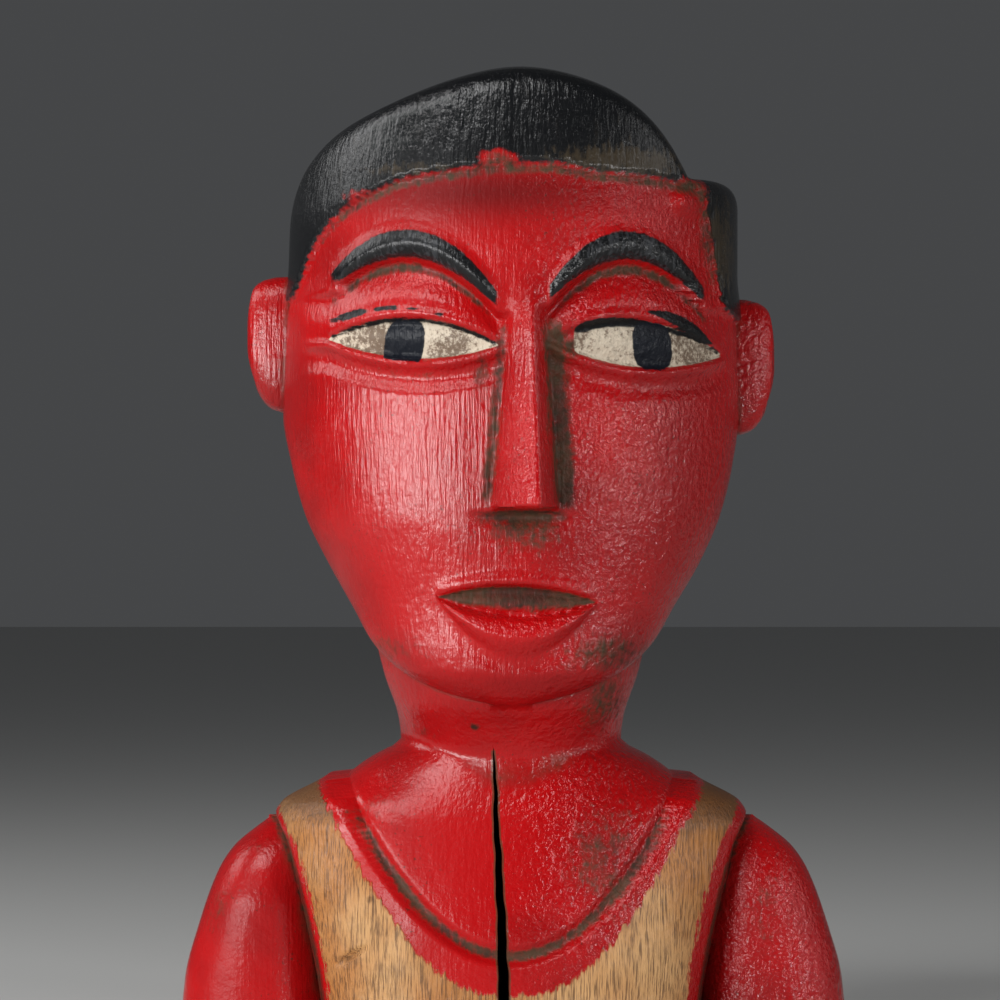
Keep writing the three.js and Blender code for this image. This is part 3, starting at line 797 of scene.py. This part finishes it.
def paint_places(x, y, z):
    """Named measures in millimetres, positive inside each painted area, and marks from 0 up."""
    across = x / half_head
    up = (z - chin_height) / head_height
    mm = head_height
    face = (y < face_front) & (z > chin_height)
    brow = np.full_like(x, far_out)
    white = np.full_like(x, far_out)
    for side, (eye, edge) in enumerate(zip(eyes, brows)):
        share, height = brow_place(edge, across, up)
        thick = 1 - 0.45 * np.abs(2 * share - 1) ** 3
        reach_in = np.minimum(share, 1 - share) * 24
        brow = np.maximum(brow, np.minimum((thick - np.abs(height)) * brow_thickness * mm, reach_in))
        share, top, bottom = almond(eye, across)
        painted = np.minimum((top - up) * mm, (up - bottom) * mm)
        painted = np.minimum(painted, (share - white_starts[side]) * 20)
        white = np.maximum(white, np.minimum(painted, (0.99 - share) * 24))
    share, top, _ = almond(eyes[0], across)
    within_ends = np.minimum(share - 0.02, 0.97 - share) * 20
    edge_line = np.minimum(0.32 - np.abs((up - top) * mm + 0.1), within_ends)
    lash = np.max([edge_line] + [half(x) - np.abs(z - middle(x)) for middle, half in strokes], axis=0)
    iris = np.full_like(x, far_out)
    for middle_x, middle_z, lean in irises:
        beside = np.abs((x - middle_x - lean * (z - middle_z)) / iris_half_width)
        over = np.abs((z - middle_z) / iris_half_height)
        square = (beside**iris_squareness + over**iris_squareness) ** (1 / iris_squareness)
        iris = np.maximum(iris, (1 - square) * 3)
    inside_bow, inside_arm = vest_edges(x, y, z)
    trim = mix(trim_middle, trim_ends, step(4, 26, np.abs(x)))
    armhole_trim = np.where(x < 0, armhole_trim_left, armhole_trim_right)
    wood = np.minimum(inside_bow - trim, inside_arm - armhole_trim)
    in_front = step(0, -8, y)
    hair = hair_edge(x, y, z)
    unsmeared = (0.45 - smudges(red_smears, x, z)) * 2.4
    hair = np.where(y < face_front, np.minimum(hair, unsmeared), hair)
    on_ear = np.minimum(ear(-1)(x, y, z), ear(1)(x, y, z)) < 0.3
    share, middle, half = crack_lines(z)
    cut = np.where(y < -4, half + 0.25 - np.abs(x - middle), far_out)
    depth = -np.minimum(bare_chest(x, y, z), neck(x, y, z))
    return {
        "hair": np.where((z > chin_height + 20) & ~on_ear, hair, far_out),
        "brow": np.where(face, brow, far_out),
        "eye_white": np.where(face, white, far_out),
        "iris": np.where(face, np.minimum(iris, white + 0.5), far_out),
        "lash": np.where(face, lash, far_out),
        "bare_wood": np.where(z < shoulder_height + 2, wood, far_out),
        "crack": np.where((share < 1) & (z < shoulder_height), cut, far_out),
        # How deep into the wood, for the crack's dark inside and painted shade
        "crack_depth": np.where(cut > -0.5, depth, 0),
        # Folds where forms meet, darkened by grime and painted shade
        "crease": crease_of(x, y, z),
        # Dirt, with painted shade in the face's hollows, the vest's grooves and under the hair's edge
        "dirt_and_shade": np.max([
            np.where(face, hollow_dirt_and_shade(across, up), 0),
            in_front * smudges(dirt_and_shade_places, x, z),
            np.where(z < shoulder_height, vest_groove_dirt_and_shade(inside_bow, inside_arm), 0),
            # A dark band under the hair's raised edge: dirt and painted shade
            np.where(face & (z > forehead), 0.75 * mound((hair + 0.9) / 1.5), 0),
        ], axis=0),
        "worn": in_front * smudges(worn_places, x, z),
        # Deeper red: painted shade on the right side, jaw and chin, and darker paint on the forehead
        "deep": in_front * smudges(deep_and_shaded_places, x, z),
        "dull": in_front * smudges(dull_places, x, z),
    }


def crease_of(x, y, z):
    """1 in the folds where two forms meet: it falls off with the distance to the second nearest form."""
    forms = [head, neck, chest, arm(-1), arm(1), ear(-1), ear(1)]
    away = np.sort(np.abs(np.stack([form(x, y, z) for form in forms])), axis=0)[1]
    fade = 1.5
    return np.exp(-away / fade)


def vest_groove_dirt_and_shade(inside_bow, inside_arm):
    """Dirt and painted shade in the grooves along the vest's neckline and armholes."""
    along_neck = 0.95 * mound((inside_bow + 1) / 1.5) * step(0, 1, inside_arm)
    return np.maximum(along_neck, 0.85 * mound((inside_arm + 0.2) / 1.5) * step(0, 2, inside_bow))


def hollow_dirt_and_shade(across, up):
    """Dirt and painted shade in the face's hollows: notch, mouth, nose sides, under the brows and lower lids.
    """
    mm = head_height
    drop = (nose["bottom"] - 0.006 - up) * mm
    half = mix(0.27, 0.2, np.clip(drop / 7, 0, 1))
    groove = np.sqrt(mound((across - notch_middle) / half)) * step(-0.6, 0.2, drop)
    dirt_and_shade = groove * np.maximum(1.25 * step(2.6, 0.8, drop), 0.85 * step(9, 2, drop))
    share, line = along_line(mouth["left"], mouth["right"], across)
    top, bottom = line + mouth["rise"] * arch(share), line - mouth["fall"] * arch(share)
    level = (up - bottom) / np.maximum(top - bottom, least_opening)
    dirt_and_shade = np.maximum(dirt_and_shade, 1.15 * step(0.3, -0.5, (up - top) * mm) * step(-0.1, 0.6, level))
    nose_share = np.clip((up - nose["bottom"]) / (nose["top"] - nose["bottom"]), 0, 1)
    beside = step(-3, 2, (up - nose["bottom"]) * mm) * step(0.63, 0.56, up)
    for name, amount, away, width in (("left", 0.8, -0.7, 1.9), ("right", 1.15, 1, 2.7)):
        foot = mix(*nose[name], nose_share)
        dirt_and_shade = np.maximum(dirt_and_shade, amount * beside * mound(((across - foot) * half_head - away) / width))
    for eye, brow in zip(eyes, brows):
        share, height = brow_place(brow, across, up)
        ends = step(-0.02, 0.1, share) * step(1.1, 0.95, share)
        dirt_and_shade = np.maximum(dirt_and_shade, 0.85 * ends * mound((height + 1.75) / 0.75))
        share, _, bottom = almond(eye, across)
        under = (bottom - up) * mm
        ends = step(-0.1, 0.1, share) * step(1.1, 0.9, share)
        dirt_and_shade = np.maximum(dirt_and_shade, 0.35 * ends * mound((under - 2.6) / 1.6))
    return dirt_and_shade


def places_of(mesh):
    """The mesh's points in millimetres."""
    points = np.empty(len(mesh.vertices) * 3)
    mesh.vertices.foreach_get("co", points)
    return points.reshape(-1, 3) * to_mm


def fit_box(piece):
    """Stretch each axis by a fraction of a percent, so that the carving just fills the solid's box."""
    points = places_of(piece.data)
    low, high = points.min(axis=0), points.max(axis=0)
    clear = 0.002
    lowest = wood_low + (clear, clear, 0)
    highest = wood_high - clear
    fitted = mix(lowest, highest, (points - low) / (high - low))
    piece.data.vertices.foreach_set("co", (fitted * to_metres).ravel())
    piece.data.update()


def write_attributes(piece):
    """Keep each painted place as a number at every point, under the name that the paint reads."""
    mesh = piece.data
    for name, values in paint_places(*places_of(mesh).T).items():
        layer = mesh.attributes.new(name, "FLOAT", "POINT")
        layer.data.foreach_set("value", np.asarray(values, np.float32))


# Shader maths
class Wire:
    """A socket that can be used in Python arithmetic; each operator adds one Math node."""

    def __init__(self, tree, socket):
        self.tree = tree
        self.socket = socket

    def math(self, operation, first, second):
        return self.tree.add("ShaderNodeMath", {"operation": operation}, {0: first, 1: second})

    def __add__(self, other):
        return self.math("ADD", self, other)

    def __sub__(self, other):
        return self.math("SUBTRACT", self, other)

    def __rsub__(self, other):
        return self.math("SUBTRACT", other, self)

    def __mul__(self, other):
        return self.math("MULTIPLY", self, other)

    __radd__ = __add__
    __rmul__ = __mul__

    def at_least(self, other):
        return self.math("MAXIMUM", self, other)

    def over(self, start, end):
        """0 below start, 1 above end and eased between."""
        values = {"Value": self, "From Min": start, "From Max": end}
        return self.tree.add("ShaderNodeMapRange", {"interpolation_type": "SMOOTHSTEP"}, values)


class Tree:
    """A material's nodes, added one at a time."""

    def __init__(self, material):
        material.use_nodes = True
        self.nodes = material.node_tree.nodes
        self.links = material.node_tree.links
        self.nodes.clear()

    def add(self, kind, settings=None, inputs=None, output=0):
        node = self.nodes.new(kind)
        for name, value in (settings or {}).items():
            setattr(node, name, value)
        for name, value in (inputs or {}).items():
            if isinstance(value, Wire):
                self.links.new(value.socket, node.inputs[name])
            else:
                node.inputs[name].default_value = value
        return Wire(self, node.outputs[output]) if node.outputs else None

    def attribute(self, name):
        return self.add("ShaderNodeAttribute", {"attribute_name": name}, output="Fac")

    def noise(self, place, scale, detail, roughness=0.55):
        values = {"Vector": place, "Scale": scale, "Detail": detail, "Roughness": roughness}
        return self.add("ShaderNodeTexNoise", {}, values)

    def stretched(self, place, by):
        return self.add("ShaderNodeVectorMath", {"operation": "MULTIPLY"}, {0: place, 1: by})

    def blend(self, factor, under, over):
        """Colour under, painted with the colour over where the factor is 1."""
        factor_socket, under_socket, over_socket = 0, 6, 7
        values = {factor_socket: factor, under_socket: under, over_socket: over}
        return self.add("ShaderNodeMix", {"data_type": "RGBA"}, values, 2)


def linear(red, green, blue):
    """A display colour from 0 to 255 as the linear colour that a shader takes."""
    share = np.array([red, green, blue]) / 255
    low = share / 12.92
    high = ((share + 0.055) / 1.055) ** 2.4
    return (*np.where(share <= 0.04045, low, high).tolist(), 1.0)


red_enamel = linear(176, 4, 8)
# Deep red for random darker patches and for painted shade
deep_red_and_shade = linear(88, 5, 6)
black_paint = linear(12, 13, 15)
worn_black = linear(56, 47, 34)
# Grey for the brows' painted sheen and worn paint
sheen_and_worn_grey = linear(72, 74, 78)
# Dark brown and olive for dirt and for painted shade
old_dirt_and_shade = linear(56, 36, 27)
olive_dirt_and_shade = linear(70, 54, 38)
eye_cream = linear(202, 188, 168)
eye_stain = linear(90, 68, 52)
iris_black = linear(15, 19, 28)
golden_wood = linear(174, 114, 58)
pale_wood = linear(200, 154, 102)
dark_pores = linear(70, 42, 20)
dusty_wood = linear(80, 52, 32)
# Near black for the crack's dark inside and its painted shade
crack_dark_and_shade = linear(10, 7, 5)
pale_floor = linear(205, 205, 203)


def painted_wood():
    """Red enamel under black hair and brows, cream eyes and bare golden wood; dirt, wear, painted shade and
    painted sheen in places.

    A glossy and a matte paint share the colour and are mixed by how unpolished a place is.
    """
    material = bpy.data.materials.new("painted_wood")
    tree = Tree(material)
    place = tree.add("ShaderNodeTexCoord", output="Object")
    along_grain = (1, 1, 0.09)
    along_pores = (1, 1, 0.05)
    grain = tree.noise(tree.stretched(place, along_grain), 1500, 4)
    pore = tree.noise(tree.stretched(place, along_pores), 4600, 3, 0.65)
    mottle = tree.noise(place, 1500, 5, 0.75)
    broad = tree.noise(place, 42, 4)
    patch = tree.noise(place, 95, 5, 0.65)
    fine = tree.noise(place, 900, 3, 0.6)
    speck = tree.noise(place, 2200, 2)
    across = tree.add("ShaderNodeSeparateXYZ", {}, {0: place}, "X")
    height = tree.add("ShaderNodeSeparateXYZ", {}, {0: place}, "Z")
    ragged = (fine - 0.5) * 1.1 + (patch - 0.5) * 0.8

    def painted(name, soft, raggedness):
        return (tree.attribute(name) + ragged * raggedness).over(-soft, soft)

    # The red deepens in broad random patches, under painted shade, and on the forehead's darker paint
    deep = tree.attribute("deep")
    red = tree.blend((broad.over(0.38, 0.7) * 0.45).at_least(deep * 0.85), red_enamel, deep_red_and_shade)
    red = tree.blend(speck.over(0.64, 0.7) * patch.over(0.45, 0.6) * 0.7, red, old_dirt_and_shade)
    # Folds where forms meet darken: grime and painted shade
    crease = tree.attribute("crease")
    grime_and_crease_shade = (crease * 0.8 + (patch - 0.5) * 1.1).over(0.4, 1.0)
    # Marked dirt and painted shade, with the folds' grime and shade, darken the red
    marks = tree.attribute("dirt_and_shade")
    smeared_dirt_and_shade = (marks + (patch - 0.5) * 0.8 + (fine - 0.5) * 0.9 + (grain - 0.5) * 0.6).over(0.3, 0.95)
    dirt_and_shade = (grime_and_crease_shade * 0.8).at_least(smeared_dirt_and_shade) * (0.74 + 0.4 * fine)
    dirt_and_shade_colour = tree.blend(patch.over(0.4, 0.6), old_dirt_and_shade, olive_dirt_and_shade)
    red = tree.blend(dirt_and_shade, red, dirt_and_shade_colour)

    hair = painted("hair", 0.3, 1.3)
    worn = (tree.attribute("worn") + (fine - 0.5) * 1.2 + (grain - 0.5) * 1.2).over(0.35, 0.85)
    worn = worn.at_least((patch * grain).over(0.3, 0.5) * 0.3)
    hair_colour = tree.blend(worn * 0.85, black_paint, worn_black)
    colour = tree.blend(hair, red, hair_colour)
    brow = painted("brow", 0.2, 0.6)
    # Grey streaks on the brows: painted sheen and worn paint
    sheen_and_wear_streaks = (grain + (patch - 0.5) * 0.8).over(0.5, 0.7) * 0.4
    colour = tree.blend(brow, colour, tree.blend(sheen_and_wear_streaks, black_paint, sheen_and_worn_grey))
    white = painted("eye_white", 0.1, 0.3)
    stain = (mottle + (patch - 0.5) * 1.1).over(0.4, 0.6) * 0.85
    colour = tree.blend(white, colour, tree.blend(stain, eye_cream, eye_stain))
    lash = painted("lash", 0.14, 0.5)
    colour = tree.blend(lash, colour, black_paint)
    iris = painted("iris", 0.1, 0.5)
    colour = tree.blend(iris, colour, iris_black)

    bristle = (grain - 0.5) * 2.6 + (fine - 0.5) * 1.5
    wood = (tree.attribute("bare_wood") + bristle).over(-0.3, 0.3)
    bare = tree.blend(broad.over(0.4, 0.65), golden_wood, pale_wood)
    bare = tree.blend(pore.over(0.45, 0.64) * 0.75, bare, dark_pores)
    dusty = ((height * to_mm - 32) * 0.16 + (patch - 0.5) * 1.6).over(0.1, 0.9)
    bare = tree.blend(dusty.at_least(patch.over(0.56, 0.7) * 0.5) * 0.75, bare, dusty_wood)
    # Bare wood is darkened by grime and dirt, and by painted shade in folds and grooves
    bare = tree.blend(grime_and_crease_shade.at_least(smeared_dirt_and_shade * 0.5), bare, old_dirt_and_shade)
    colour = tree.blend(wood, colour, bare)
    crack_edge = (tree.attribute("crack") + (fine - 0.5) * 0.3).over(-0.08, 0.08)
    colour = tree.blend(crack_edge * 0.8, colour, dusty_wood)
    # Darker deeper into the crack: painted shade with the crack's dark inside
    colour = tree.blend(tree.attribute("crack_depth").over(0.5, 1.6), colour, crack_dark_and_shade)

    on_head = height.over(0.045, 0.055)
    crinkled = across.over(-0.004, 0.01) * (1.0 - wood) * (1.0 - hair)
    dull = tree.attribute("dull")
    rough = 0.1 + 0.14 * patch + 0.2 * dirt_and_shade + wood * 0.14 + 0.08 * fine + 0.1 * dull - 0.06 * crinkled
    grain_depth = (0.35 + 0.65 * on_head) * (1.0 - 0.6 * crinkled) * (1.0 - 0.6 * dull) + 0.4 * wood
    relief = grain * grain_depth + fine * (0.3 + 1.3 * crinkled) + patch * 0.9 + pore * wood * 0.4
    bump = tree.add("ShaderNodeBump", {}, {"Strength": 0.9, "Distance": 0.00032, "Height": relief})
    glossy, matte = (
        tree.add("ShaderNodeBsdfPrincipled", {}, {
            "Base Color": colour,
            "Roughness": roughness,
            "Normal": bump,
            "Specular IOR Level": shine,
        })
        for roughness, shine in ((rough, 0.5), (0.6, 0.15))
    )
    unpolished = (dull * 0.9).at_least(dirt_and_shade * 0.9).at_least(wood * 0.3)
    unpolished = unpolished.at_least(white * 0.8).at_least(lash * 0.6)
    shader = tree.add("ShaderNodeMixShader", {}, {0: unpolished, 1: glossy, 2: matte})
    tree.add("ShaderNodeOutputMaterial", {}, {"Surface": shader})
    return material


def plain_material(name, colour, roughness):
    """One colour and one roughness all over."""
    material = bpy.data.materials.new(name)
    tree = Tree(material)
    shader = tree.add("ShaderNodeBsdfPrincipled", {}, {"Base Color": colour, "Roughness": roughness})
    tree.add("ShaderNodeOutputMaterial", {}, {"Surface": shader})
    return material


# Studio, in metres: each light's name, place, width and height, and power
figure_middle = (0, 0, 0.085)
lights = [
    ("key", (-0.48, -0.5, 0.08), (0.5, 0.15), 3.4),
    ("fill", (0.5, -0.52, 0.1), (0.1, 0.1), 1.4),
    ("rim", (0.62, -0.1, 0.25), (0.2, 0.4), 0.5),
    ("side", (-0.6, 0.1, 0.4), (0.3, 0.3), 1.5),
    ("top", (-0.28, -0.42, 0.52), (0.3, 0.24), 1.9),
]
sharp_edge = 62


def look_at(thing, target):
    """Turn a camera or light so that its -Z axis points at the target."""
    thing.rotation_euler = (Vector(target) - thing.location).to_track_quat("-Z", "Y").to_euler()


def make_camera():
    """A long lens straight in front, level with the middle of the view."""
    data = bpy.data.cameras.new("camera")
    data.sensor_width = 36
    field = 0.150
    distance = 0.900
    middle_x = -0.00165
    middle_z = 0.0825
    data.lens = data.sensor_width * distance / field
    data.clip_start = 0.05
    data.clip_end = 20
    camera = bpy.data.objects.new("camera", data)
    camera.location = (middle_x, -distance, middle_z)
    look_at(camera, (middle_x, 0, middle_z))
    bpy.context.scene.collection.objects.link(camera)
    bpy.context.scene.camera = camera


def make_floor():
    """A wide pale plane at the flat cut."""
    reach = 3.0
    corners = np.array([(-reach, -reach, 0), (reach, -reach, 0), (reach, reach, 0), (-reach, reach, 0)])
    mesh = bpy.data.meshes.new("floor")
    mesh.from_pydata(corners.tolist(), [], [(0, 1, 2, 3)])
    floor = bpy.data.objects.new("floor", mesh)
    bpy.context.scene.collection.objects.link(floor)
    mesh.materials.append(plain_material("pale_floor", pale_floor, 0.75))


def make_light(name, place, size, power):
    """A soft white panel turned to the figure's middle, and not seen itself."""
    data = bpy.data.lights.new(name, "AREA")
    data.shape = "RECTANGLE"
    data.size, data.size_y = size
    data.energy = power
    light = bpy.data.objects.new(name, data)
    light.location = place
    light.visible_camera = False
    look_at(light, figure_middle)
    bpy.context.scene.collection.objects.link(light)


def make_studio():
    """The floor, a dim room and the lights."""
    make_floor()
    world = bpy.data.worlds.new("studio")
    world.use_nodes = True
    room = world.node_tree.nodes["Background"].inputs
    room["Color"].default_value = (0.75, 0.77, 0.8, 1)
    room["Strength"].default_value = 0.08
    bpy.context.scene.world = world
    for name, place, size, power in lights:
        make_light(name, place, size, power)


bpy.context.scene.view_settings.view_transform = "Standard"
make_camera()
bust = carve()
fit_box(bust)
write_attributes(bust)
bust.data.shade_smooth()
bust.data.set_sharp_from_angle(angle=np.radians(sharp_edge))
bust.data.materials.clear()
bust.data.materials.append(painted_wood())
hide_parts("carved_bust")
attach(bust, "root")
make_studio()
